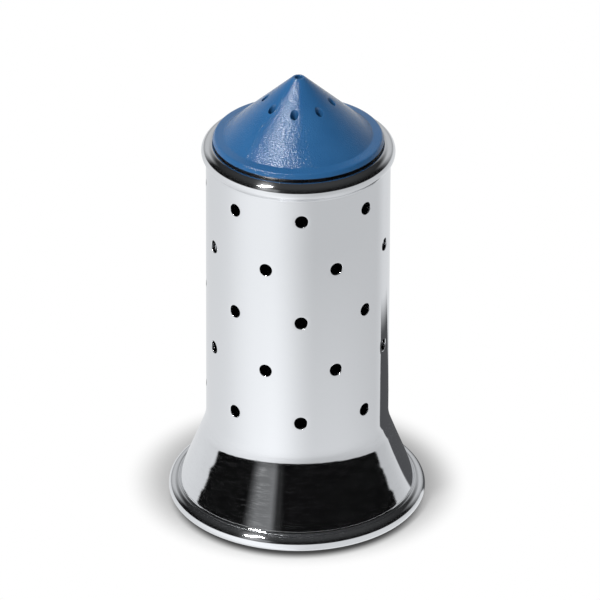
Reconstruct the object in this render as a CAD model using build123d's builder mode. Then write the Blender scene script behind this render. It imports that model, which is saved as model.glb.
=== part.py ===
from build123d import *

import os
from math import cos, radians, tan

# Table spice shaker: a perforated steel body on a flared foot, a container that lifts out of it,
# and a conical pouring cap that plugs into the container.
#
# Units are millimetres. +Z is up along the shaker's axis, and the origin lies on the table under
# the axis. Every turned section is drawn on Plane.XZ, where the sketch's x is the radius and its
# y is the height, and is revolved about Axis.Z.

# ------------------------------------------------------------------ steel body
SHEET = 0.6  # thickness of the tube and of the skirt
TUBE_RADIUS = 17.7  # outside of the perforated tube
FLARE_TOP_Z = 16.75  # height at which the tube's side and the skirt's cone would meet
FLARE_BLEND = 3.0  # bend between the tube and the skirt
FLARE_FOOT_RADIUS = 22.82  # the cone's outside where it reaches the foot ring's top

FOOT_RING_RADIUS = 23.4  # centre circle of the round ring that the skirt stands on
FOOT_RING_WIRE = 1.6  # radius of its section
FOOT_RING_Z = 1.8

RIM_RING_RADIUS = 16.75  # centre circle of the round ring about the mouth
RIM_RING_WIRE = 1.85
RIM_RING_Z = 75.1

PERFORATION = 2.5  # diameter of the holes in the tube
PERFORATION_ROWS = 5
PERFORATIONS_PER_ROW = 8
FIRST_ROW_Z = 25.0
ROW_PITCH = 11.0

# ------------------------------------------------------------------ container and its guides
LINER_RADIUS = 14.6  # outside of the container
LINER_WALL = 1.0
LINER_FLOOR = 1.2
LINER_BOTTOM_Z = 3.0
LINER_BOTTOM_BLEND = 0.9
LINER_COLLAR_RADIUS = 15.9  # the collar hangs on the rim ring
LINER_COLLAR_Z = 76.8
LINER_TOP_Z = 77.4  # the cap's flange rests here
SLIDE_CLEARANCE = 0.15  # radial room for the container in its guides

BUSH_BOTTOM_Z = 70.6  # guide ring pressed into the top of the tube
BUSH_TOP_Z = 73.2

BASE_RADIUS = 21.75  # moulded base that closes the foot
BASE_BOTTOM_Z = 0.4
BASE_TOP_Z = 2.4
SEAT_RIM_Z = 13.0  # top of the cup that keeps the container upright
SEAT_WALL = 1.2
RIB_COUNT = 8
RIB_WIDTH = 1.2
RIB_TOP_Z = 4.6
RIB_END_RADIUS = 20.4

PAD_INNER_RADIUS = 16.0  # soft ring under the base
PAD_OUTER_RADIUS = 20.5
PAD_THICKNESS = 1.2

# ------------------------------------------------------------------ cap
CAP_APEX_Z = 90.9
CAP_APEX_RADIUS = 1.15  # the small flat about the top hole
CAP_APEX_BLEND = 0.35
CAP_SLOPE = 43.0  # degrees of the cone's side above the horizontal
CAP_WALL = 1.4
CAP_CREASE_RADIUS = 14.3  # where the cone meets the flange
CAP_SHOULDER_RADIUS = 16.05  # where the flange's top turns down
CAP_SHOULDER_DROP = 0.2
CAP_SHOULDER_BLEND = 0.45
CAP_FLANGE_RADIUS = 16.55
CAP_LIP_BLEND = 0.2
PLUG_RADIUS = 13.4  # sleeve of the cap inside the container's mouth
PLUG_BORE = 12.2
PLUG_BOTTOM_Z = 71.0
PLUG_LEAD = 0.5  # bevel at the end of the sleeve
POUR_HOLE = 1.5  # diameter of the holes in the cap
POUR_HOLE_COUNT = 8
POUR_HOLE_CIRCLE = 6.34
CAP_TURN = -9.2  # degrees by which the cap's holes stand off the tube's

SEAL_WIRE = 0.4  # radius of the sealing ring's section
SEAL_RADIUS = 13.1
SEAL_Z = 73.8
SEAL_GROOVE_RADIUS = 12.65
SEAL_GROOVE_HEIGHT = 0.9

# ------------------------------------------------------------------ worked out from the above
FRONT = -90.0  # polar angle of -Y, the side that the first hole of a row faces
TUBE_BORE = TUBE_RADIUS - SHEET
FOOT_RING_TOP_Z = FOOT_RING_Z + FOOT_RING_WIRE
FLARE_RUN = (FLARE_FOOT_RADIUS - TUBE_RADIUS) / (FLARE_TOP_Z - FOOT_RING_TOP_Z)
SEAM_Z = FLARE_TOP_Z + FLARE_BLEND / 4  # above the bend, where the skirt joins the tube
LINER_BORE = LINER_RADIUS - LINER_WALL
GUIDE_BORE = LINER_RADIUS + SLIDE_CLEARANCE
CAP_RISE = tan(radians(CAP_SLOPE))
CAP_WALL_DROP = CAP_WALL / cos(radians(CAP_SLOPE))


def flare_radius(z):
    """Outside radius of the skirt's cone at a height."""
    return TUBE_RADIUS + (FLARE_TOP_Z - z) * FLARE_RUN


def cone_z(radius):
    """Height of the cap's outer cone at a radius."""
    return CAP_APEX_Z - (radius - CAP_APEX_RADIUS) * CAP_RISE


def turned_band(inner, outer, low, high):
    """Add a rectangle from one radius to another and one height to another to the open sketch."""
    with Locations((inner, low)):
        Rectangle(outer - inner, high - low, align=(Align.MIN, Align.MIN))


os.makedirs("parts", exist_ok=True)

# ------------------------------------------------------------------ rings of round section
with BuildPart() as rim_ring:
    with BuildSketch(Plane.XZ):
        with Locations((RIM_RING_RADIUS, RIM_RING_Z)):
            Circle(RIM_RING_WIRE)
    revolve(axis=Axis.Z)
rim_ring.part.label = "rim_ring"
export_step(rim_ring.part, "parts/rim_ring.step")

with BuildPart() as foot_ring:
    with BuildSketch(Plane.XZ):
        with Locations((FOOT_RING_RADIUS, FOOT_RING_Z)):
            Circle(FOOT_RING_WIRE)
    revolve(axis=Axis.Z)
foot_ring.part.label = "foot_ring"
export_step(foot_ring.part, "parts/foot_ring.step")

# ------------------------------------------------------------------ tube, socketed in the rim ring
with BuildPart() as perforated_tube:
    with BuildSketch(Plane.XZ):
        turned_band(TUBE_BORE, TUBE_RADIUS, SEAM_Z, RIM_RING_Z)
    revolve(axis=Axis.Z)
    with BuildSketch(Plane.XZ):
        with Locations((RIM_RING_RADIUS, RIM_RING_Z)):
            Circle(RIM_RING_WIRE)
    revolve(axis=Axis.Z, mode=Mode.SUBTRACT)
    for row in range(PERFORATION_ROWS):
        row_turn = (row % 2) * 180 / PERFORATIONS_PER_ROW
        with Locations((0, 0, FIRST_ROW_Z + row * ROW_PITCH)):
            with PolarLocations(TUBE_RADIUS, PERFORATIONS_PER_ROW, start_angle=FRONT + row_turn):
                Cylinder(PERFORATION / 2, 4 * SHEET, rotation=(0, 90, 0), mode=Mode.SUBTRACT)
perforated_tube.part.label = "perforated_tube"
export_step(perforated_tube.part, "parts/perforated_tube.step")

# ------------------------------------------------------------------ skirt, socketed in the foot ring
with BuildPart() as flared_skirt:
    with BuildSketch(Plane.XZ):
        with BuildLine():
            FilletPolyline(
                (TUBE_RADIUS, SEAM_Z),
                (TUBE_RADIUS, FLARE_TOP_Z),
                (flare_radius(FOOT_RING_Z), FOOT_RING_Z),
                radius=FLARE_BLEND,
            )
            offset(amount=SHEET, side=Side.RIGHT)
        make_face()
    revolve(axis=Axis.Z)
    with BuildSketch(Plane.XZ):
        with Locations((FOOT_RING_RADIUS, FOOT_RING_Z)):
            Circle(FOOT_RING_WIRE)
    revolve(axis=Axis.Z, mode=Mode.SUBTRACT)
flared_skirt.part.label = "flared_skirt"
export_step(flared_skirt.part, "parts/flared_skirt.step")

# ------------------------------------------------------------------ guide ring in the neck
with BuildPart() as neck_bush:
    with BuildSketch(Plane.XZ):
        turned_band(GUIDE_BORE, TUBE_BORE, BUSH_BOTTOM_Z, BUSH_TOP_Z)
    revolve(axis=Axis.Z)
neck_bush.part.label = "neck_bush"
export_step(neck_bush.part, "parts/neck_bush.step")

# ------------------------------------------------------------------ base with its ribbed cup
with BuildPart() as base_insert:
    with BuildSketch(Plane.XZ):
        turned_band(0, BASE_RADIUS, BASE_BOTTOM_Z, BASE_TOP_Z)
        turned_band(GUIDE_BORE, GUIDE_BORE + SEAT_WALL, BASE_BOTTOM_Z, SEAT_RIM_Z)
    revolve(axis=Axis.Z)
    with BuildSketch(Plane.XZ):
        turned_band(PAD_INNER_RADIUS, PAD_OUTER_RADIUS, 0, PAD_THICKNESS)
    revolve(axis=Axis.Z, mode=Mode.SUBTRACT)
    with BuildSketch(Plane.XY.offset(BASE_TOP_Z)):
        with PolarLocations(GUIDE_BORE + SEAT_WALL / 2, RIB_COUNT, start_angle=FRONT):
            Rectangle(
                RIB_END_RADIUS - GUIDE_BORE - SEAT_WALL / 2,
                RIB_WIDTH,
                align=(Align.MIN, Align.CENTER),
            )
    extrude(amount=RIB_TOP_Z - BASE_TOP_Z)
base_insert.part.label = "base_insert"
export_step(base_insert.part, "parts/base_insert.step")

with BuildPart() as anti_slip_ring:
    with BuildSketch(Plane.XZ):
        turned_band(PAD_INNER_RADIUS, PAD_OUTER_RADIUS, 0, PAD_THICKNESS)
    revolve(axis=Axis.Z)
anti_slip_ring.part.label = "anti_slip_ring"
export_step(anti_slip_ring.part, "parts/anti_slip_ring.step")

# ------------------------------------------------------------------ container
with BuildPart() as inner_container:
    with BuildSketch(Plane.XZ):
        turned_band(0, LINER_RADIUS, LINER_BOTTOM_Z, LINER_BOTTOM_Z + LINER_FLOOR)
        turned_band(LINER_BORE, LINER_RADIUS, LINER_BOTTOM_Z, LINER_TOP_Z)
        turned_band(LINER_BORE, LINER_COLLAR_RADIUS, LINER_COLLAR_Z, LINER_TOP_Z)
    revolve(axis=Axis.Z)
    fillet(inner_container.edges().filter_by(GeomType.CIRCLE).sort_by(Axis.Z)[0], LINER_BOTTOM_BLEND)
inner_container.part.label = "inner_container"
export_step(inner_container.part, "parts/inner_container.step")

# ------------------------------------------------------------------ cap
CREASE_Z = cone_z(CAP_CREASE_RADIUS)
CAP_OUTLINE = [
    ((0, CAP_APEX_Z), 0),
    ((CAP_APEX_RADIUS, CAP_APEX_Z), CAP_APEX_BLEND),
    ((CAP_CREASE_RADIUS, CREASE_Z), 0),
    ((CAP_SHOULDER_RADIUS, CREASE_Z - CAP_SHOULDER_DROP), CAP_SHOULDER_BLEND),
    ((CAP_FLANGE_RADIUS, LINER_TOP_Z), CAP_LIP_BLEND),
    ((PLUG_RADIUS, LINER_TOP_Z), 0),
    ((PLUG_RADIUS, PLUG_BOTTOM_Z + PLUG_LEAD), 0),
    ((PLUG_RADIUS - PLUG_LEAD, PLUG_BOTTOM_Z), 0),
    ((PLUG_BORE, PLUG_BOTTOM_Z), 0),
    ((PLUG_BORE, cone_z(PLUG_BORE) - CAP_WALL_DROP), 0),
    ((0, cone_z(0) - CAP_WALL_DROP), 0),
]
with BuildPart() as pouring_cap:
    with BuildSketch(Plane.XZ):
        with BuildLine():
            FilletPolyline(
                [corner for corner, blend in CAP_OUTLINE],
                radius=[blend for corner, blend in CAP_OUTLINE],
                close=True,
            )
        make_face()
    revolve(axis=Axis.Z)
    with BuildSketch(Plane.XZ):
        turned_band(
            SEAL_GROOVE_RADIUS,
            PLUG_RADIUS + SEAL_WIRE,
            SEAL_Z - SEAL_GROOVE_HEIGHT / 2,
            SEAL_Z + SEAL_GROOVE_HEIGHT / 2,
        )
    revolve(axis=Axis.Z, mode=Mode.SUBTRACT)
    with Locations((0, 0, CAP_APEX_Z)):
        Hole(POUR_HOLE / 2)
        with PolarLocations(POUR_HOLE_CIRCLE, POUR_HOLE_COUNT, start_angle=FRONT + CAP_TURN):
            Hole(POUR_HOLE / 2)
pouring_cap.part.label = "pouring_cap"
export_step(pouring_cap.part, "parts/pouring_cap.step")

with BuildPart() as cap_seal:
    with BuildSketch(Plane.XZ):
        with Locations((SEAL_RADIUS, SEAL_Z)):
            Circle(SEAL_WIRE)
    revolve(axis=Axis.Z)
cap_seal.part.label = "cap_seal"
export_step(cap_seal.part, "parts/cap_seal.step")
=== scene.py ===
"""Table spice shaker: smooth meshes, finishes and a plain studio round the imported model.

Sizes are written in millimetres in the classes below and become metres in the meshes.
+Z is up along the shaker's axis and -Y is the front.
"""

import logging
import math
from collections.abc import Callable, Iterable, Sequence
from dataclasses import dataclass, field
from enum import Enum

import bmesh
import bpy
from bmesh.types import BMEdge, BMesh, BMFace, BMVert
from bpy.types import ID, Material, Node, NodeSocket, NodeTree, Object
from mathutils import Matrix, Vector


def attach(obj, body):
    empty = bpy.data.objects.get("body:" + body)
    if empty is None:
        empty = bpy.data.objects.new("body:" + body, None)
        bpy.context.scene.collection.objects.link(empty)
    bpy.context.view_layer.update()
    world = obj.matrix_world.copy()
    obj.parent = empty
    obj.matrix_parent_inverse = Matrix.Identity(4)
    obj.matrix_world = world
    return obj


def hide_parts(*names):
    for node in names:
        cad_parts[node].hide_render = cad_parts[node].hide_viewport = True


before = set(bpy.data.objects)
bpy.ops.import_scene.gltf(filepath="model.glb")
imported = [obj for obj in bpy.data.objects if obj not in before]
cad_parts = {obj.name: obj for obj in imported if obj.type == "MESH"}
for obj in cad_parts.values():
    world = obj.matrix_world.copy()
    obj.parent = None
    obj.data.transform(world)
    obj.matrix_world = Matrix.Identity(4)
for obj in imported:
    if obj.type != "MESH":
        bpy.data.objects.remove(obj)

LOG = logging.getLogger("shaker")
MM = 0.001
FULL_TURN = 2 * math.pi
SHARP_ANGLE = math.radians(40)
MERGE_GAP = 1e-3  # mm, under any real detail
FRONT = math.radians(-90)  # polar angle of -Y
AROUND = 192  # steps round the axis, the same in every turned piece
CUT_GAP = 1e-5  # mm, within which a vertex counts as on a cut
NOISE_LOW, NOISE_HIGH = 0.3, 0.7  # nearly all of a noise pattern lies between these

Pair = tuple[float, float]
Triple = tuple[float, float, float]
Color = tuple[float, float, float, float]
Fade = tuple[float, float, float, float]  # a low and a high measure, and the levels there
Noise = tuple[Triple, float, float]  # features per metre, octaves, strength of each further one


class Slot(Enum):
    """Material slots of the record."""

    STEEL = "polished_steel"
    BLACK = "black_plastic"
    BLUE = "blue_plastic"
    RUBBER = "black_rubber"


class Part(Enum):
    """CAD bodies that the pieces ride on."""

    BODY = "body"
    CAP = "cap"


# --- shader nodes
class Graph:
    """A small typed helper round a node tree."""

    def __init__(self, tree: NodeTree) -> None:
        """Start with an empty tree.

        Args:
            tree: The tree to fill.
        """
        self.tree = tree
        tree.nodes.clear()

    def add(self, kind: str, inputs: dict | None = None, **settings: object) -> Node:
        """Add a node and set its properties and sockets.

        Args:
            kind: The node's type name after ShaderNode.
            inputs: Values or sockets by input name or number.
            settings: Properties of the node.

        Returns:
            The new node.
        """
        node = self.tree.nodes.new("ShaderNode" + kind)
        for name, value in settings.items():
            setattr(node, name, value)
        for name, value in (inputs or {}).items():
            if isinstance(value, NodeSocket):
                self.tree.links.new(value, node.inputs[name])
            else:
                node.inputs[name].default_value = value
        return node

    def math(self, operation: str, *values: NodeSocket | float) -> NodeSocket:
        """Add a Math node.

        Args:
            operation: The operation's name.
            values: Its inputs in order.

        Returns:
            The result socket.
        """
        return self.add("Math", dict(enumerate(values)), operation=operation).outputs[0]

    def place(self) -> NodeSocket:
        """Object coordinates."""
        return self.add("TexCoord").outputs["Object"]

    def mapped(self, vector: NodeSocket, turn: float = 0.0,
               scale: Triple = (1.0, 1.0, 1.0)) -> NodeSocket:
        """Turn and scale coordinates.

        Args:
            vector: The coordinates.
            turn: Turn about Z in radians.
            scale: Scale along each axis.

        Returns:
            The mapped coordinates.
        """
        inputs = {"Vector": vector, "Rotation": (0.0, 0.0, turn), "Scale": scale}
        return self.add("Mapping", inputs).outputs["Vector"]

    def noise(self, scale: Triple, detail: float, roughness: float) -> NodeSocket:
        """A noise pattern on Object coordinates.

        Args:
            scale: Features per metre along each axis.
            detail: Octaves.
            roughness: Strength of each further octave.

        Returns:
            The pattern's value, from 0 to 1.
        """
        vector = self.mapped(self.place(), scale=scale)
        inputs = {"Vector": vector, "Scale": 1.0, "Detail": detail, "Roughness": roughness}
        return self.add("TexNoise", inputs).outputs["Fac"]

    def spread(self, value: NodeSocket, low: float, high: float, start: float, end: float,
               smooth: bool = False) -> NodeSocket:
        """Map a value from one range to another, clamped.

        Args:
            value: The input.
            low: Input at the start.
            high: Input at the end.
            start: Output at low.
            end: Output at high.
            smooth: Whether the change eases in and out.

        Returns:
            The mapped value.
        """
        inputs = {"Value": value, "From Min": low, "From Max": high, "To Min": start, "To Max": end}
        style = "SMOOTHSTEP" if smooth else "LINEAR"
        return self.add("MapRange", inputs, interpolation_type=style).outputs["Result"]

    def ramp(self, value: NodeSocket, stops: Sequence[tuple[float, Triple]]) -> NodeSocket:
        """A colour ramp.

        Args:
            value: The input.
            stops: Position and colour of each stop, in order.

        Returns:
            The colour.
        """
        node = self.add("ValToRGB", {"Fac": value})
        elements = node.color_ramp.elements
        while len(elements) < len(stops):
            elements.new(0.5)
        for element, (position, color) in zip(elements, stops):
            element.position = position
            element.color = (*color, 1.0)
        return node.outputs["Color"]

    def bump(self, height: NodeSocket, distance: float, normal: NodeSocket | None = None) -> NodeSocket:
        """A bump node.

        Args:
            height: The height pattern.
            distance: Height of the pattern in metres.
            normal: A normal to build on.

        Returns:
            The bumped normal.
        """
        inputs: dict = {"Height": height, "Distance": distance, "Strength": 1.0}
        if normal is not None:
            inputs["Normal"] = normal
        return self.add("Bump", inputs).outputs["Normal"]

    def mix(self, share: NodeSocket | float, first: NodeSocket, second: NodeSocket) -> NodeSocket:
        """Mix two shaders.

        Args:
            share: Share of the second.
            first: The first shader.
            second: The second shader.

        Returns:
            The mixed shader.
        """
        return self.add("MixShader", {0: share, 1: first, 2: second}).outputs[0]

    def shine(self, color: Color | NodeSocket, strength: NodeSocket | float,
              kind: str = "Emission") -> NodeSocket:
        """Add a shader that gives light.

        Args:
            color: Its colour.
            strength: Its strength.
            kind: The type name of an emission or a background.

        Returns:
            The shader.
        """
        return self.add(kind, {"Color": color, "Strength": strength}).outputs[0]

    def show(self, shader: NodeSocket, kind: str = "OutputMaterial") -> None:
        """Link a shader to the output.

        Args:
            shader: What the output shows.
            kind: The output node's type name.
        """
        self.add(kind, {"Surface": shader})


def new_material(name: str) -> tuple[Material, Graph]:
    """Make a material with an empty tree.

    Args:
        name: Its name.

    Returns:
        The material and the helper for its tree.
    """
    material = bpy.data.materials.new(name)
    material.use_nodes = True
    return material, Graph(material.node_tree)


@dataclass(frozen=True)
class PolishedSteel:
    """Stainless steel spun, ground round the axis and polished to a mirror."""

    name: str = "polished_steel"
    color: Color = (0.80, 0.81, 0.825, 1.0)
    gloss: Fade = (0.3, 0.8, 0.03, 0.048)  # roughness of the sheet, from sparse to dense scratches
    smear: float = 0.30  # roughness across the lathe marks
    smear_turn: float = 0.25  # of a turn, from along the marks to across them
    smear_share: Fade = (0.46, 0.66, 0.0018, 0.054)  # from sparse to dense scratches
    sheet_smear: float = 0.15  # what is left of the share where no lathe marks stand
    ground_band: Pair = (3.4, 16.5)  # mm, from and to which the lathe marks stand
    ground_fade: Pair = (0.5, 1.5)  # mm, over which they fade at the foot and at the tube
    seam_z: float = 3.75  # mm, height of the fine line left where the foot ring is joined on
    seam_half: float = 0.04
    seam_fade: float = 1.6  # times its half width, where it has faded out
    seam_gloss: float = 0.36
    ring_gloss: float = 0.04
    ring_smear: float = 0.06  # share of the rings' shine that is smeared up and down
    ring_levels: Pair = (3.35, 73.1)  # mm, below and above these stand the turned rings
    ring_fades: Pair = (0.05, 0.3)
    wave: Noise = ((60.0, 60.0, 190.0), 1.0, 0.5)
    wave_height: float = 2.4e-5
    sheet_wave: float = 0.05  # what is left of the waves where no lathe marks stand
    scratch: Noise = ((420.0, 420.0, 4200.0), 3.0, 0.6)
    scratch_height: float = 2.2e-6

    def material(self) -> Material:
        """Build the steel: a mirror, with faint lathe marks that smear a lamp up and down.

        Returns:
            The material.
        """
        material, graph = new_material(self.name)
        height = graph.add("SeparateXYZ", {"Vector": graph.place()}).outputs["Z"]
        low, high = (level * MM for level in self.ground_band)
        low_fade, high_fade = (reach * MM for reach in self.ground_fade)
        ground = graph.math("MULTIPLY", graph.spread(height, high, high + high_fade, 1.0, 0.0, True),
                            graph.spread(height, low, low + low_fade, 0.0, 1.0, True))
        lean = graph.spread(ground, 0.0, 1.0, self.sheet_wave, 1.0)
        waves = graph.math("MULTIPLY", graph.noise(*self.wave), lean)
        marks = graph.noise(*self.scratch)
        cuts = graph.math("MULTIPLY", marks, ground)
        normal = graph.bump(cuts, self.scratch_height, graph.bump(waves, self.wave_height))
        metal = {"Base Color": self.color, "Metallic": 1.0, "Normal": normal}
        mirror = graph.add("BsdfPrincipled", metal | {"Roughness": self._polish(graph, height, marks)})
        brushed = graph.add("BsdfPrincipled", metal | {
            "Roughness": self.smear,
            "Anisotropic": 1.0,
            "Anisotropic Rotation": self.smear_turn,
            "Tangent": graph.add("Tangent", direction_type="RADIAL", axis="Z").outputs[0],
        })
        share = graph.spread(marks, *self.smear_share)
        share = graph.math("MULTIPLY", share, graph.spread(ground, 0.0, 1.0, self.sheet_smear, 1.0))
        share = graph.math("MAXIMUM", share, self._on_rings(graph, height, self.ring_smear))
        graph.show(graph.mix(share, mirror.outputs[0], brushed.outputs[0]))
        return material

    def _on_rings(self, graph: Graph, height: NodeSocket, value: float) -> NodeSocket:
        """A value on the two turned rings that is 0 on the sheet between them.

        Args:
            graph: The tree.
            height: Height above the table.
            value: The value on the rings.

        Returns:
            The value at each height.
        """
        low, high = (level * MM for level in self.ring_levels)
        low_fade, high_fade = (reach * MM for reach in self.ring_fades)
        return graph.math("MAXIMUM", graph.spread(height, low, low + low_fade, value, 0.0),
                          graph.spread(height, high - high_fade, high, 0.0, value))

    def _polish(self, graph: Graph, height: NodeSocket, marks: NodeSocket) -> NodeSocket:
        """Roughness of the mirror: finest on the sheet, duller on the rings, matt in the joint's line.

        Args:
            graph: The tree.
            height: Height above the table.
            marks: The noise of the fine scratches.

        Returns:
            The roughness.
        """
        sheet = graph.spread(marks, *self.gloss)
        off_seam = graph.math("ABSOLUTE", graph.math("SUBTRACT", height, self.seam_z * MM))
        half = self.seam_half * MM
        seam = graph.spread(off_seam, half, self.seam_fade * half, self.seam_gloss, 0.0)
        rings = self._on_rings(graph, height, self.ring_gloss)
        return graph.math("MAXIMUM", graph.math("MAXIMUM", sheet, seam), rings)


@dataclass(frozen=True)
class Moulded:
    """Plastic or rubber as moulded: a wide pattern tints it and a fine one is its grain."""

    name: str
    wide: Noise
    fine: Noise
    tints: Sequence[tuple[float, Triple]]  # level of the wide pattern, and the colour there
    roughness: Pair
    grain_height: float
    specular: float = 0.5
    dulled_by_grain: bool = False  # and not by the wide pattern

    def material(self) -> Material:
        """Build the plastic or rubber.

        Returns:
            The material.
        """
        material, graph = new_material(self.name)
        wide, fine = graph.noise(*self.wide), graph.noise(*self.fine)
        rough, dull = self.roughness
        if dull > rough:
            dulling = fine if self.dulled_by_grain else wide
            rough = graph.spread(dulling, NOISE_LOW, NOISE_HIGH, rough, dull)
        shader = graph.add("BsdfPrincipled", {
            "Base Color": graph.ramp(wide, self.tints),
            "Roughness": rough,
            "Specular IOR Level": self.specular,
            "Normal": graph.bump(fine, self.grain_height),
        })
        graph.show(shader.outputs[0])
        return material


BLUE_PLASTIC = Moulded(  # with the sparkling grain of a spark-eroded mould
    "blue_plastic", wide=((150.0,) * 3, 2.0, 0.5), fine=((3500.0,) * 3, 2.0, 0.6),
    tints=((NOISE_LOW, (0.024, 0.115, 0.285)), (NOISE_HIGH, (0.030, 0.130, 0.310))),
    roughness=(0.09, 0.09), grain_height=1.02e-4, specular=0.60,
)
BLACK_PLASTIC = Moulded(  # smooth, with a trace of flow marks
    "black_plastic", wide=((260.0, 260.0, 60.0), 3.0, 0.5), fine=((2600.0,) * 3, 1.0, 0.5),
    tints=((0.35, (0.012, 0.012, 0.014)), (0.7, (0.024, 0.024, 0.027))),
    roughness=(0.22, 0.33), grain_height=3.0e-6,
)
BLACK_RUBBER = Moulded(  # matt, dry and dusty, with fine pores
    "black_rubber", wide=((420.0,) * 3, 3.0, 0.5), fine=((5200.0,) * 3, 2.0, 0.5),
    tints=((0.4, (0.020, 0.020, 0.021)), (0.75, (0.042, 0.042, 0.042))),
    roughness=(0.72, 0.9), grain_height=8.0e-6, dulled_by_grain=True,
)


@dataclass
class Finishes:
    """One material for each slot of the record."""

    made: dict[Slot, Material] = field(default_factory=dict)

    def make(self) -> None:
        """Build every finish."""
        finishes = {
            Slot.STEEL: PolishedSteel(),
            Slot.BLUE: BLUE_PLASTIC,
            Slot.BLACK: BLACK_PLASTIC,
            Slot.RUBBER: BLACK_RUBBER,
        }
        self.made = {slot: finish.material() for slot, finish in finishes.items()}

    def dress_node(self, node: str, slot: Slot) -> None:
        """Give a CAD node its finish.

        Args:
            node: The node's name.
            slot: The slot of its finish.
        """
        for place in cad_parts[node].material_slots:
            place.material = self.made[slot]
        LOG.info("%s shows with finish %s", node, slot.value)

    def dress_piece(self, piece: Object, slot: Slot, part: Part, node: str) -> None:
        """Give a new piece its finish and its body, and hide the CAD node that it stands for.

        Args:
            piece: The piece.
            slot: The slot of its finish.
            part: The body that it rides on.
            node: The CAD node that it replaces.
        """
        piece.data.materials.append(self.made[slot])
        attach(piece, part.value)
        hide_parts(node)
        LOG.info("%s replaces %s with %d faces", piece.name, node, len(piece.data.polygons))


# --- mesh helpers
@dataclass(frozen=True)
class Corner:
    """A corner of a turned section, with the radius that rounds it."""

    radius: float
    height: float
    blend: float = 0.0


def spun(bm: BMesh, section: list[BMVert | BMEdge]) -> None:
    """Spin a section once about Z.

    Args:
        bm: The mesh.
        section: Its vertices and edges.
    """
    bmesh.ops.spin(bm, geom=section, cent=(0, 0, 0), axis=(0, 0, 1), dvec=(0, 0, 0),
                   angle=FULL_TURN, steps=AROUND, use_merge=True, use_duplicate=False)


def turned(bm: BMesh, corners: Sequence[Corner], closed: bool = True, pitch: float = 0.5,
           arc_step: float = 5.0) -> None:
    """Spin a section of rounded corners about Z.

    Args:
        bm: The mesh to add to.
        corners: The section's corners in order.
        closed: Whether the last corner joins the first.
        pitch: Longest straight step along the section.
        arc_step: Degrees of each step round a corner.
    """
    shape = bmesh.new()
    verts = [shape.verts.new((c.radius, 0.0, c.height)) for c in corners]
    for pair in zip(verts, verts[1:] + verts[:1] if closed else verts[1:]):
        shape.edges.new(pair)
    points = [Vector((c.radius, c.height)) for c in corners]
    for index, corner in enumerate(corners):
        if corner.blend:
            ahead = points[(index + 1) % len(points)] - points[index]
            bend = (points[index] - points[index - 1]).angle(ahead)
            by_angle, by_length = math.degrees(bend) / arc_step, corner.blend * bend / pitch
            segments = max(2, round(by_angle), math.ceil(by_length))
            bmesh.ops.bevel(
                shape, geom=[verts[index]], offset=corner.blend * math.tan(bend / 2),
                offset_type="OFFSET", segments=segments, profile=0.5, affect="VERTICES", material=-1,
            )
    for edge in [e for e in shape.edges if e.calc_length() > pitch]:
        bmesh.ops.subdivide_edges(shape, edges=[edge], cuts=math.ceil(edge.calc_length() / pitch) - 1)
    spun(shape, shape.verts[:] + shape.edges[:])
    add_copies(bm, shape, [Matrix.Identity(4)])


def add_copies(bm: BMesh, shape: BMesh, places: Iterable[Matrix]) -> None:
    """Add copies of one mesh to another and free the first.

    Args:
        bm: The mesh to add to.
        shape: The mesh to copy. It is freed.
        places: Where each copy goes.
    """
    scratch = bpy.data.meshes.new("scratch")
    shape.to_mesh(scratch)
    shape.free()
    for place in places:
        first = len(bm.verts)
        bm.from_mesh(scratch)
        bm.verts.ensure_lookup_table()
        bmesh.ops.transform(bm, matrix=place, verts=bm.verts[first:])
    bpy.data.meshes.remove(scratch)


def linked(name: str, data: ID) -> Object:
    """Make an object at the origin and link it to the scene.

    Args:
        name: Its name.
        data: Its mesh, camera or light.

    Returns:
        The object.
    """
    made = bpy.data.objects.new(name, data)
    bpy.context.scene.collection.objects.link(made)
    return made


def finished(bm: BMesh, name: str) -> Object:
    """Close a mesh, point its faces outwards, turn it to metres and make it an object.

    Args:
        bm: The mesh in millimetres. It is freed.
        name: The object's name.

    Returns:
        The object, at the origin.
    """
    bmesh.ops.remove_doubles(bm, verts=bm.verts[:], dist=MERGE_GAP)
    bmesh.ops.recalc_face_normals(bm, faces=bm.faces[:])
    open_edges = sum(not edge.is_manifold for edge in bm.edges)
    if open_edges:
        LOG.warning("%s has %d open edges", name, open_edges)
    for face in bm.faces:
        face.smooth = True
    for edge in bm.edges:
        edge.smooth = not (edge.is_manifold and edge.calc_face_angle(0.0) > SHARP_ANGLE)
    bmesh.ops.scale(bm, vec=(MM, MM, MM), verts=bm.verts[:])
    mesh = bpy.data.meshes.new(name)
    bm.to_mesh(mesh)
    bm.free()
    return linked(name, mesh)


def extruded(bm: BMesh, edges: list[BMEdge]) -> tuple[list[BMVert], list[BMEdge]]:
    """Extrude open edges in place.

    Args:
        bm: The mesh.
        edges: The edges.

    Returns:
        The new vertices and the new open edges.
    """
    made = bmesh.ops.extrude_edge_only(bm, edges=edges)["geom"]
    verts = [g for g in made if isinstance(g, BMVert)]
    return verts, [g for g in made if isinstance(g, BMEdge) and all(v in verts for v in g.verts)]


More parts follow.
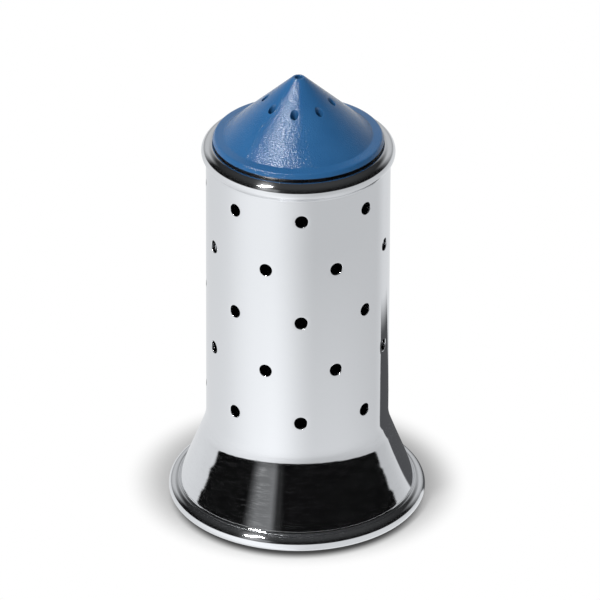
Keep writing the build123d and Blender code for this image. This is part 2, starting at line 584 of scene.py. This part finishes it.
@dataclass
class HoledTile:
    """A flat rectangle of sheet with one hole in its middle.

    The sheet runs along X and Y, and Z is 0 on its outside and below 0 within the wall.
    """

    width: float
    height: float
    across: int
    up: int
    hole_radius: float
    lip: float
    wall: float
    rings: int
    inner_rings: int
    warp: Callable[[Vector], Vector] | None = None
    lip_steps: int = 5

    def build(self, middle: Vector) -> BMesh:
        """Build the tile.

        Args:
            middle: The hole's middle after the warp.

        Returns:
            The tile's mesh.
        """
        bm = bmesh.new()
        outline = self._frame(bm)
        lip_radius = self.hole_radius + self.lip
        made = bmesh.ops.create_circle(bm, segments=len(outline), radius=lip_radius, cap_ends=False,
                                       matrix=Matrix.Translation(middle))
        circle = list({edge for vert in made["verts"] for edge in vert.link_edges})
        outside = bmesh.ops.bridge_loops(bm, edges=outline + circle)["faces"]
        inside = bmesh.ops.duplicate(bm, geom=outside)["geom"]
        inside_verts = [g for g in inside if isinstance(g, BMVert)]
        ring = [vert for vert in inside_verts if (vert.co - middle).length < lip_radius + MERGE_GAP]
        share = self.hole_radius / lip_radius
        bmesh.ops.scale(bm, vec=(share, share, 1), verts=ring, space=Matrix.Translation(-middle))
        bmesh.ops.translate(bm, vec=(0, 0, -self.wall), verts=inside_verts)
        self._divide(bm, outside, middle, self.rings)
        self._divide(bm, [g for g in inside if isinstance(g, BMFace)], middle, self.inner_rings)
        self._hole(bm, circle, middle)
        bmesh.ops.remove_doubles(bm, verts=bm.verts[:], dist=MERGE_GAP)
        return bm

    def _frame(self, bm: BMesh) -> list[BMEdge]:
        """Make the tile's outline with even steps and warp it.

        Args:
            bm: The mesh to add to.

        Returns:
            The outline's edges.
        """
        bmesh.ops.create_grid(bm, x_segments=self.across, y_segments=self.up, size=0.5)
        bmesh.ops.scale(bm, vec=(self.width, self.height, 1), verts=bm.verts[:])
        within = [vert for vert in bm.verts if not vert.is_boundary]
        bmesh.ops.delete(bm, geom=within, context="VERTS")
        if self.warp:
            for vert in bm.verts:
                vert.co = self.warp(vert.co)
        return bm.edges[:]

    def _divide(self, bm: BMesh, faces: Iterable[BMFace], middle: Vector, rings: int) -> None:
        """Divide the faces between an outline and a hole into rings.

        Args:
            bm: The mesh.
            faces: The faces.
            middle: The hole's middle.
            rings: How many rings they are divided into.
        """
        reach = self.hole_radius + self.lip + MERGE_GAP
        spokes = {edge for face in faces for edge in face.edges
                  if sum((vert.co - middle).xy.length < reach for vert in edge.verts) == 1}
        bmesh.ops.subdivide_edges(bm, edges=list(spokes), cuts=rings - 1, use_grid_fill=True)

    def _hole(self, bm: BMesh, circle: list[BMEdge], middle: Vector) -> None:
        """Round the hole's outer edge and carry its wall through the sheet.

        Args:
            bm: The mesh.
            circle: The hole's outer edge.
            middle: The hole's middle.
        """
        angles = [math.radians(90) * step / self.lip_steps for step in range(1, self.lip_steps + 1)]
        rows = [(self.hole_radius + self.lip * (1 - math.sin(angle)), self.lip * (1 - math.cos(angle)))
                for angle in angles]
        rows += [(self.hole_radius, 0.5 * (self.lip + self.wall)), (self.hole_radius, self.wall)]
        radius, depth = self.hole_radius + self.lip, 0.0
        edges = circle
        for next_radius, next_depth in rows:
            verts, edges = extruded(bm, edges)
            share = next_radius / radius
            bmesh.ops.scale(bm, vec=(share, share, 1), verts=verts, space=Matrix.Translation(-middle))
            bmesh.ops.translate(bm, vec=(0, 0, depth - next_depth), verts=verts)
            radius, depth = next_radius, next_depth


# --- steel body
@dataclass
class SteelBody:
    """The perforated tube, its flared skirt and the two round rings."""

    radius: float = 17.7
    sheet: float = 0.6
    seam_z: float = 17.5
    hole: float = 2.5
    hole_lip: float = 0.12
    rows: int = 5
    columns: int = 8
    first_row_z: float = 25.0
    row_pitch: float = 11.0
    tile_across: int = 24
    tile_up: int = 20
    tile_rings: tuple[int, int] = (9, 4)  # round each hole, outside and inside
    seam_steps: int = 5
    weld_steps: int = 8
    ring_steps: int = 96
    weld_radius: float = 0.5
    neck_z: float = 73.28
    flare_top: Corner = Corner(17.7, 16.75, 11.0)
    flare_middle: Corner = Corner(20.672, 9.0, 240.0)
    flare_foot: Corner = Corner(22.974, 3.3596, 0.304)
    flare_root: Corner = Corner(23.205, 3.388)
    flare_heel: Corner = Corner(23.1, 2.4)
    flare_under: Corner = Corner(22.55, 2.3)
    inner_bend: Pair = (16.63, 2.4)  # height and blend
    rim: Corner = Corner(16.75, 75.1, 1.85)
    foot: Corner = Corner(23.4, 1.8, 1.6)

    @property
    def flare_tilt(self) -> float:
        """Angle between the flare's side and the axis."""
        top, middle = self.flare_top, self.flare_middle
        return math.atan2(middle.radius - top.radius, top.height - middle.height)

    @property
    def bend_top_z(self) -> float:
        """Height at which the bend between tube and flare begins."""
        return self.flare_top.height + self.flare_top.blend * math.tan(self.flare_tilt / 2)

    @property
    def seam_tilt(self) -> float:
        """Tilt of the bend where the skirt joins the tube."""
        return math.asin((self.bend_top_z - self.seam_z) / self.flare_top.blend)

    @property
    def weld(self) -> Pair:
        """Lowest height of the weld under the rim, and the angle it turns through."""
        out = self.radius + self.weld_radius - self.rim.radius
        drop = math.sqrt((self.rim.blend + self.weld_radius) ** 2 - out ** 2)
        return self.rim.height - drop, math.atan2(drop, out)

    def bend(self, tilt: float) -> Pair:
        """Radius and height of the bend where it has a tilt."""
        blend = self.flare_top.blend
        return self.radius + blend * (1 - math.cos(tilt)), self.bend_top_z - blend * math.sin(tilt)

    def build(self, finishes: Finishes) -> None:
        """Make the steel pieces and dress them.

        Args:
            finishes: The finishes to use.
        """
        pieces = (
            (self.tube(), "perforated_tube"),
            (self.skirt(), "flared_skirt"),
            (self.ring("rim_bead", self.rim), "rim_ring"),
            (self.ring("foot_bead", self.foot), "foot_ring"),
        )
        for piece, node in pieces:
            finishes.dress_piece(piece, Slot.STEEL, Part.BODY, node)

    def tube(self) -> Object:
        """Make the tube of one holed tile in staggered rows, rolled up and welded under the rim.

        Returns:
            The tube.
        """
        width = FULL_TURN * self.radius / self.columns
        tile = HoledTile(width, self.row_pitch, self.tile_across, self.tile_up, self.hole / 2,
                         self.hole_lip, self.sheet, *self.tile_rings).build(Vector((0, 0, 0)))
        bm = bmesh.new()
        add_copies(bm, tile, [
            Matrix.Translation((
                (column + 0.5 * (row % 2)) * width, self.first_row_z + row * self.row_pitch, 0))
            for row in range(self.rows) for column in range(self.columns)
        ])
        bmesh.ops.bisect_plane(bm, geom=bm.verts[:] + bm.edges[:] + bm.faces[:], dist=CUT_GAP,
                               plane_co=(0, self.weld[0], 0), plane_no=(0, 1, 0), clear_outer=True)
        for vert in bm.verts:
            around = FRONT + vert.co.x / self.radius
            out = self.radius + vert.co.z
            vert.co = (out * math.cos(around), out * math.sin(around), vert.co.y)
        bmesh.ops.remove_doubles(bm, verts=bm.verts[:], dist=MERGE_GAP)
        self._foot_edge(bm)
        self._neck_edge(bm)
        return finished(bm, "tube_shell")

    def _carry(self, bm: BMesh, edges: list[BMEdge], rows: Iterable[Pair]) -> list[BMEdge]:
        """Carry a round open edge of the tube through rows of a radius and a height.

        Args:
            bm: The tube's mesh.
            edges: The open edge.
            rows: Radius and height of each row.

        Returns:
            The open edge in the last row.
        """
        for radius, height in rows:
            verts, edges = extruded(bm, edges)
            for vert in verts:
                vert.co = (*(vert.co.xy.normalized() * radius), height)
        return edges

    def _open_edges(self, bm: BMesh, top: bool) -> tuple[list[BMEdge], list[BMEdge]]:
        """The tube's open outer and inner edge.

        Args:
            bm: The tube's mesh.
            top: Whether at its top, and not at its foot.

        Returns:
            The outer edge and the inner edge.
        """
        middle = self.radius - self.sheet / 2
        ends = [edge for edge in bm.edges if len(edge.link_faces) < 2
                and (edge.verts[0].co.z > self.first_row_z) == top]
        outer = [edge for edge in ends if edge.verts[0].co.xy.length > middle]
        return outer, [edge for edge in ends if edge not in outer]

    def _foot_edge(self, bm: BMesh) -> None:
        """Carry the tube's wall into the bend, down to the seam, and close it.

        Args:
            bm: The tube's mesh.
        """
        outer, inner = self._open_edges(bm, top=False)
        steps = self.seam_steps
        rows = [self.bend(self.seam_tilt * step / steps) for step in range(steps + 1)]
        low = self._carry(bm, outer, rows)
        inside = self._carry(bm, inner, [(self.radius - self.sheet, self.seam_z)])
        bmesh.ops.bridge_loops(bm, edges=low + inside)

    def _neck_edge(self, bm: BMesh) -> None:
        """Flare the tube's top into the rim ring with a weld and close it inside the ring.

        Args:
            bm: The tube's mesh.
        """
        outer, inner = self._open_edges(bm, top=True)
        low_z, turn = self.weld
        angles = [turn * step / self.weld_steps for step in range(1, self.weld_steps + 1)]
        weld = self.weld_radius
        edges = self._carry(bm, outer, [
            (self.radius + weld * (1 - math.cos(angle)), low_z + weld * math.sin(angle))
            for angle in angles
        ])
        for vert in {v for edge in inner for v in edge.verts}:
            vert.co.z = self.neck_z
        bmesh.ops.bridge_loops(bm, edges=edges + inner)

    def skirt(self) -> Object:
        """Make the flared skirt, with a smooth bend at its top and a small fillet at its foot.

        Returns:
            The skirt.
        """
        inside = self.radius - self.sheet
        seam_radius, seam_z = self.bend(self.seam_tilt)
        reach = self.flare_top.blend * math.tan((self.flare_tilt - self.seam_tilt) / 2)
        bend = Corner(seam_radius + reach * math.sin(self.seam_tilt),
                      seam_z - reach * math.cos(self.seam_tilt), self.flare_top.blend)
        bm = bmesh.new()
        turned(bm, (
            Corner(seam_radius, seam_z),
            bend,
            self.flare_middle,
            self.flare_foot,
            self.flare_root,
            self.flare_heel,
            self.flare_under,
            Corner(inside, *self.inner_bend),
            Corner(inside, self.seam_z),
        ), pitch=0.4, arc_step=1.0)
        return finished(bm, "skirt_shell")

    def ring(self, name: str, section: Corner) -> Object:
        """Make a round ring.

        Args:
            name: The piece's name.
            section: Centre of its section, with the section's radius as the blend.

        Returns:
            The ring.
        """
        bm = bmesh.new()
        upright = Matrix.Rotation(math.radians(90), 4, "X")
        place = Matrix.Translation((section.radius, 0, section.height)) @ upright
        made = bmesh.ops.create_circle(bm, segments=self.ring_steps, radius=section.blend,
                                       cap_ends=False, matrix=place)
        edges = {edge for vert in made["verts"] for edge in vert.link_edges}
        spun(bm, made["verts"] + list(edges))
        return finished(bm, name)


# --- cap
@dataclass
class PouringCap:
    """The conical cap with its ring of pouring holes."""

    apex_z: float = 90.9
    apex_radius: float = 1.15
    apex_blend: float = 0.35
    slope: float = 43.0
    wall: float = 1.4
    hole: float = 1.5
    hole_lip: float = 0.08
    hole_circle: float = 6.34
    hole_count: int = 8
    turn: float = -9.2
    tile_reach: float = 2.1
    tile_up: int = 10
    tile_rings: tuple[int, int] = (6, 3)
    crease_radius: float = 14.3
    crease_blend: float = 0.5
    brim_radius: float = 16.05
    brim_drop: float = 0.2
    brim_blend: float = 0.45
    edge_radius: float = 16.55
    edge_blend: float = 0.2
    rest_z: float = 77.4
    plug_radius: float = 13.4
    plug_bore: float = 12.2
    plug_low_z: float = 71.0
    plug_chamfer: float = 0.5
    groove_radius: float = 12.65
    groove_z: Pair = (73.35, 74.25)
    roof_blend: float = 0.4

    def cone_z(self, radius: float) -> float:
        """Height of the outer cone at a radius."""
        return self.apex_z - (radius - self.apex_radius) * math.tan(math.radians(self.slope))

    @property
    def drop(self) -> float:
        """The wall's thickness measured straight down."""
        return self.wall / math.cos(math.radians(self.slope))

    def build(self, finishes: Finishes) -> None:
        """Make the cap and dress it.

        Args:
            finishes: The finishes to use.
        """
        bm = bmesh.new()
        self._holed_belt(bm)
        self._tip(bm)
        self._brim_and_plug(bm)
        turn = Matrix.Rotation(FRONT + math.radians(self.turn), 3, "Z")
        bmesh.ops.rotate(bm, cent=(0, 0, 0), matrix=turn, verts=bm.verts[:])
        finishes.dress_piece(finished(bm, "cap_shell"), Slot.BLUE, Part.CAP, "pouring_cap")
        finishes.dress_node("cap_seal", Slot.RUBBER)

    def _holed_belt(self, bm: BMesh) -> None:
        """Make the belt of the cone with the holes, from one tile turned about the axis.

        Args:
            bm: The mesh to add to.
        """
        sector = FULL_TURN / self.hole_count

        def fan(flat: Vector) -> Vector:
            """Bend the tile's outline into a sector about the axis."""
            radius = self.hole_circle + flat.y
            return Vector((radius * math.cos(flat.x), radius * math.sin(flat.x), 0.0))

        tile = HoledTile(sector, 2 * self.tile_reach, AROUND // self.hole_count, self.tile_up,
                         self.hole / 2, self.hole_lip, self.drop, *self.tile_rings, fan)
        belt = tile.build(Vector((self.hole_circle, 0, 0)))
        for vert in belt.verts:
            vert.co.z += self.cone_z(vert.co.xy.length)
        turns = [Matrix.Rotation(index * sector, 4, "Z") for index in range(self.hole_count)]
        add_copies(bm, belt, turns)

    def _tip(self, bm: BMesh) -> None:
        """Make the tip above the holes, with the top hole.

        Args:
            bm: The mesh to add to.
        """
        low = self.hole_circle - self.tile_reach
        bore = self.hole / 2
        turned(bm, (
            Corner(low, self.cone_z(low)),
            Corner(self.apex_radius, self.apex_z, self.apex_blend),
            Corner(bore, self.apex_z, self.hole_lip),
            Corner(bore, self.cone_z(bore) - self.drop),
            Corner(low, self.cone_z(low) - self.drop),
        ), closed=False)

    def _brim_and_plug(self, bm: BMesh) -> None:
        """Make the cone below the holes, the flange and the sleeve that plugs into the container.

        Args:
            bm: The mesh to add to.
        """
        high = self.hole_circle + self.tile_reach
        crease_z = self.cone_z(self.crease_radius)
        groove_low, groove_high = self.groove_z
        turned(bm, (
            Corner(high, self.cone_z(high)),
            Corner(self.crease_radius, crease_z, self.crease_blend),
            Corner(self.brim_radius, crease_z - self.brim_drop, self.brim_blend),
            Corner(self.edge_radius, self.rest_z, self.edge_blend),
            Corner(self.plug_radius, self.rest_z),
            Corner(self.plug_radius, groove_high),
            Corner(self.groove_radius, groove_high),
            Corner(self.groove_radius, groove_low),
            Corner(self.plug_radius, groove_low),
            Corner(self.plug_radius, self.plug_low_z + self.plug_chamfer),
            Corner(self.plug_radius - self.plug_chamfer, self.plug_low_z),
            Corner(self.plug_bore, self.plug_low_z),
            Corner(self.plug_bore, self.cone_z(self.plug_bore) - self.drop, self.roof_blend),
            Corner(high, self.cone_z(high) - self.drop),
        ), closed=False)


# --- inner pieces
@dataclass
class InnerPieces:
    """The moulded pieces whose CAD shapes show as they are."""

    nodes: tuple[tuple[str, Slot], ...] = (
        ("inner_container", Slot.BLACK),
        ("neck_bush", Slot.BLACK),
        ("base_insert", Slot.BLACK),
        ("anti_slip_ring", Slot.RUBBER),
    )

    def build(self, finishes: Finishes) -> None:
        """Dress the inner pieces.

        Args:
            finishes: The finishes to use.
        """
        for node, slot in self.nodes:
            finishes.dress_node(node, slot)


# --- studio
@dataclass(frozen=True)
class Glow:
    """A soft-edged light or card round the set, by degrees to the right of the camera's side."""

    middle: float
    half_width: float
    left_edge: float
    right_edge: float
    level: float

    def shown(self, graph: Graph, place: NodeSocket) -> NodeSocket:
        """Level of the card in a direction.

        Args:
            graph: The tree.
            place: Coordinates with the camera's side along +X, Z up.

        Returns:
            The level, fading to 0 across its soft edges.
        """
        centred = graph.mapped(place, -math.radians(self.middle))
        radial = graph.add("TexGradient", {"Vector": centred}, gradient_type="RADIAL")
        angle = graph.math("MULTIPLY", graph.math("SUBTRACT", radial.outputs["Fac"], 0.5), 360.0)
        half = self.half_width
        rise = graph.spread(angle, -half - self.left_edge, -half, 0.0, self.level, True)
        fall = graph.spread(angle, half, half + self.right_edge, 1.0, 0.0, True)
        return graph.math("MULTIPLY", rise, fall)


def direction(azimuth: float, elevation: float) -> Vector:
    """Unit vector that points away from the axis.

    Args:
        azimuth: Degrees to the right of the front, seen from there.
        elevation: Degrees above the table.

    Returns:
        The vector.
    """
    turn, rise = math.radians(azimuth), math.radians(elevation)
    flat = math.cos(rise)
    return Vector((math.sin(turn) * flat, -math.cos(turn) * flat, math.sin(rise)))


@dataclass
class Studio:
    """A pale floor, a soft lamp at the front left, glowing cards all round and a long-lens camera."""

    elevation: float = 28.9
    azimuth: float = -2.2
    roll: float = 0.25
    distance: float = 1770.0
    lens: float = 548.8
    sensor: float = 36.0
    view_depth: Pair = (0.05, 50.0)  # m, nearest and farthest seen
    aim: Triple = (0.47, -6.9, 34.48)  # right, up, and height of the aim on the axis
    lamp_azimuth: float = -52.0
    lamp_elevation: float = 52.0
    lamp_distance: float = 900.0
    lamp_size: Pair = (100.0, 320.0)
    lamp_aim_z: float = 45.0
    lamp_level: float = 0.86
    sky_level: float = 0.31
    floor_reach: float = 3000.0
    contact: Pair = (22.6, 25.4)  # mm, where the painted dark line of shade under the foot fades out
    contact_middle: float = -1.6  # mm, its middle stands in front of the axis
    contact_level: float = 0.12
    halo: Pair = (24.0, 34.0)  # mm, where the foot's soft shadow fades out
    halo_middle: float = 3.5
    halo_level: float = 0.50
    paper_white: Color = (0.93, 0.93, 0.93, 1.0)
    paper_glow: Fade = (25.0, 33.0, 0.7, 1.0)  # mm from the axis, and the share that glows
    horizon: float = -2.8
    horizon_blur: float = 0.004
    room_color: Color = (0.985, 1.0, 1.02, 1.0)
    floor_level: float = 0.63
    floor_glows: tuple[Glow, ...] = (
        Glow(-44, 8, 95, 60, 0.39),
        Glow(180, 40, 25, 50, 0.13),
    )
    floor_dim: Fade = (-0.22, -0.05, 1.0, 0.92)  # by Z of the direction, as in the next three
    wall_top: Fade = (0.42, 0.62, 1.0, 0.0)
    wall_lift: Fade = (0.06, 0.24, 0.75, 1.1)
    ceiling: Fade = (0.30, 0.92, 0.002, 0.05)
    ceiling_color: Color = (0.95, 0.97, 1.0, 1.0)
    foot_level: float = 0.03
    foot_reach: Pair = (45, 130)  # mm from the axis, where the light by the foot dies away
    foot_glows: tuple[Glow, ...] = (Glow(15, 25, 60, 70, 0.12),)
    wall_level: float = 0.002
    wall_glows: tuple[Glow, ...] = (
        Glow(180, 34, 38, 28, 0.54),
        Glow(-33, 6, 15, 8, 0.185),
        Glow(-21, 2, 8, 7, 0.022),
    )
    shade_azimuth: float = 131.0
    shade_length: float = 85.0
    shade_radius: float = 16.2
    shade_blur: float = 1.8
    shade_start: float = 2  # mm, its soft beginning
    shade_end: float = 9  # mm, half of its soft end
    shade_color: Color = (0.085, 0.087, 0.092, 1.0)
    white: Color = (1.0, 1.0, 1.0, 1.0)

    def build(self) -> None:
        """Set up the studio."""
        self.camera()
        self.floor()
        self.world()
        self.lamp()
        bpy.context.scene.view_settings.view_transform = "Standard"
        LOG.info("studio is ready")

    def camera(self) -> None:
        """Place the camera: a long lens from above, looking down the -Y side."""
        ahead = -direction(self.azimuth, self.elevation)
        level = ahead.cross(Vector((0, 0, 1))).normalized()
        upright = level.cross(ahead)
        roll = math.radians(self.roll)
        right = level * math.cos(roll) + upright * math.sin(roll)
        above = upright * math.cos(roll) - level * math.sin(roll)
        data = bpy.data.cameras.new("camera")
        data.lens = self.lens
        data.sensor_width = self.sensor
        data.clip_start, data.clip_end = self.view_depth
        view = linked("camera", data)
        aim_right, aim_up, aim_z = self.aim
        place = Vector((0, 0, aim_z)) - ahead * self.distance + right * aim_right - above * aim_up
        basis = Matrix((right, above, -ahead)).transposed().to_4x4()
        view.matrix_world = Matrix.Translation(place * MM) @ basis
        bpy.context.scene.camera = view

    def floor(self) -> None:
        """Lay the floor: white to the camera, with the shaker's soft shadow close round its foot."""
        bm = bmesh.new()
        bmesh.ops.create_grid(bm, x_segments=2, y_segments=2, size=self.floor_reach * MM)
        mesh = bpy.data.meshes.new("floor")
        bm.to_mesh(mesh)
        bm.free()
        sheet = linked("floor", mesh)
        mesh.materials.append(self._floor_paper())

    def _floor_paper(self) -> Material:
        """The floor's white paper, with a shade painted where the foot stands on it; the share lit by
        the lamps also takes their real shadow.

        Returns:
            The material.
        """
        material, graph = new_material("white_paper")
        path = graph.add("LightPath").outputs
        away = graph.add("VectorMath", {0: graph.place()}, operation="LENGTH").outputs["Value"]
        # painted shade: a dark line where the foot meets the floor and a soft halo round it, in the
        # paper's colour
        contact = self._foot_shade(graph, self.contact_middle, self.contact, self.contact_level)
        halo = self._foot_shade(graph, self.halo_middle, self.halo, self.halo_level)
        level = graph.math("MULTIPLY", contact, halo)
        shade = graph.add("CombineColor", {0: level, 1: level, 2: level}).outputs[0]
        paper = graph.add("BsdfDiffuse", {"Color": shade}).outputs[0]
        near, far, mixed, full = self.paper_glow
        share = graph.spread(away, near * MM, far * MM, mixed, full, True)
        plain = graph.add("BsdfDiffuse", {"Color": self.paper_white}).outputs[0]
        seen = graph.mix(path["Is Camera Ray"], plain, graph.mix(share, paper, graph.shine(shade, 1.0)))
        mirrored = graph.math("MAXIMUM", path["Is Glossy Ray"], path["Is Transmission Ray"])
        shader = graph.mix(mirrored, seen, self._mirrored_paper(graph, away))
        behind = graph.add("NewGeometry").outputs["Backfacing"]
        clear = graph.add("BsdfTransparent").outputs[0]
        graph.show(graph.mix(behind, shader, clear))
        return material

    def _foot_shade(self, graph: Graph, middle: float, reach: Pair, level: float) -> NodeSocket:
        """A round shade on the floor under the foot.

        Args:
            graph: The floor's shader tree.
            middle: Y of its middle in millimetres.
            reach: Radii in millimetres between which it fades out.
            level: Its level within the first radius.

        Returns:
            The level, which is 1 beyond the second radius.
        """
        inputs = {0: graph.place(), 1: (0.0, middle * MM, 0.0)}
        moved = graph.add("VectorMath", inputs, operation="SUBTRACT").outputs[0]
        away = graph.add("VectorMath", {0: moved}, operation="LENGTH").outputs["Value"]
        return graph.spread(away, reach[0] * MM, reach[1] * MM, level, 1.0, True)

    def _mirrored_paper(self, graph: Graph, away: NodeSocket) -> NodeSocket:
        """The floor as polished metal shows it: the room's glow, lighter by the foot, and the shade.

        Args:
            graph: The floor's shader tree.
            away: Distance from the axis.

        Returns:
            The shader.
        """
        place = graph.mapped(graph.place(), math.radians(90 - self.azimuth))
        near = graph.spread(away, self.foot_reach[0] * MM, self.foot_reach[1] * MM, 1.0, 0.0)
        level = graph.math("MULTIPLY", near, self._glow(graph, place, self.foot_level, self.foot_glows))
        pool = graph.shine(self.room_color, level)
        clear = graph.add("BsdfTransparent").outputs[0]
        lit = graph.add("AddShader", {0: clear, 1: pool}).outputs[0]
        return graph.mix(self._cast_shade(graph), lit, graph.shine(self.shade_color, 1.0))

    def _glow(self, graph: Graph, place: NodeSocket, base: float, glows: Iterable[Glow]) -> NodeSocket:
        """Level round the set, of a base with lights or cards on it.

        Args:
            graph: The tree.
            place: Coordinates with the camera's side along +X.
            base: Level between the lights.
            glows: The lights or cards.

        Returns:
            The level.
        """
        level: NodeSocket | float = base
        for glow in glows:
            level = graph.math("ADD", glow.shown(graph, place), level)
        return level

    def _cast_shade(self, graph: Graph) -> NodeSocket:
        """The shaker's cast shadow, a strip that runs away from the lamp.

        Args:
            graph: The floor's shader tree.

        Returns:
            How deep the shadow is, from 0 to 1.
        """
        along = graph.mapped(graph.place(), math.radians(90 - self.azimuth - self.shade_azimuth))
        sides = graph.add("SeparateXYZ", {"Vector": along}).outputs
        edge = self.shade_radius * MM
        off_middle = graph.math("ABSOLUTE", sides["Y"])
        across = graph.spread(off_middle, edge, edge + self.shade_blur * MM, 1.0, 0.0, True)
        start = graph.spread(sides["X"], 0.0, self.shade_start * MM, 0.0, 1.0)
        low, high = self.shade_length - self.shade_end, self.shade_length + self.shade_end
        end = graph.spread(sides["X"], low * MM, high * MM, 1.0, 0.0, True)
        return graph.math("MULTIPLY", graph.math("MULTIPLY", across, start), end)

    def world(self) -> None:
        """Light the room evenly, and let metal show the lit floor, the cards and the dim ceiling."""
        room = bpy.data.worlds.new("room")
        room.use_nodes = True
        bpy.context.scene.world = room
        graph = Graph(room.node_tree)
        kind = "Background"
        path = graph.add("LightPath").outputs
        way = graph.add("TexCoord").outputs["Generated"]
        around = graph.mapped(way, math.radians(90 - self.azimuth))
        rise = graph.add("SeparateXYZ", {"Vector": way}).outputs["Z"]
        upright = graph.math("MULTIPLY", graph.spread(rise, *self.wall_top, True),
                             graph.spread(rise, *self.wall_lift))
        walls = self._glow(graph, around, self.wall_level, self.wall_glows)
        cards = graph.shine(self.room_color, graph.math("MULTIPLY", walls, upright), kind)
        ceiling = graph.shine(self.ceiling_color, graph.spread(rise, *self.ceiling), kind)
        above = graph.add("AddShader", {0: cards, 1: ceiling}).outputs[0]
        pool = self._glow(graph, around, self.floor_level, self.floor_glows)
        dimmed = graph.math("MULTIPLY", pool, graph.spread(rise, *self.floor_dim))
        floor = graph.shine(self.room_color, dimmed, kind)
        horizon, blur = math.sin(math.radians(self.horizon)), self.horizon_blur
        over = graph.spread(rise, horizon - blur, horizon + blur, 0.0, 1.0, True)
        mirrored = graph.math("MAXIMUM", path["Is Glossy Ray"], path["Is Transmission Ray"])
        light = graph.shine(self.white, self.sky_level, kind)
        lit = graph.mix(mirrored, light, graph.mix(over, floor, above))
        seen = graph.mix(path["Is Camera Ray"], lit, graph.shine(self.white, 1.0, kind))
        graph.show(seen, "OutputWorld")

    def lamp(self) -> None:
        """Hang the tall soft lamp at the front left."""
        data = bpy.data.lights.new("strip_lamp", "AREA")
        data.shape = "RECTANGLE"
        data.size, data.size_y = (side * MM for side in self.lamp_size)
        reach = self.lamp_distance * MM
        data.energy = self.lamp_level * (math.pi * reach) ** 2  # what a white sheet on the axis shows
        way = direction(self.lamp_azimuth, self.lamp_elevation)
        strip = linked("strip_lamp", data)
        strip.location = Vector((0, 0, self.lamp_aim_z * MM)) + way * reach
        strip.rotation_euler = (-way).to_track_quat("-Z", "Y").to_euler()


def main() -> None:
    """Build every sub-assembly, then the studio."""
    logging.basicConfig(level=logging.INFO, format="%(message)s")
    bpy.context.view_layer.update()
    finishes = Finishes()
    finishes.make()
    SteelBody().build(finishes)
    PouringCap().build(finishes)
    InnerPieces().build(finishes)
    Studio().build()


if __name__ == "__main__":
    main()
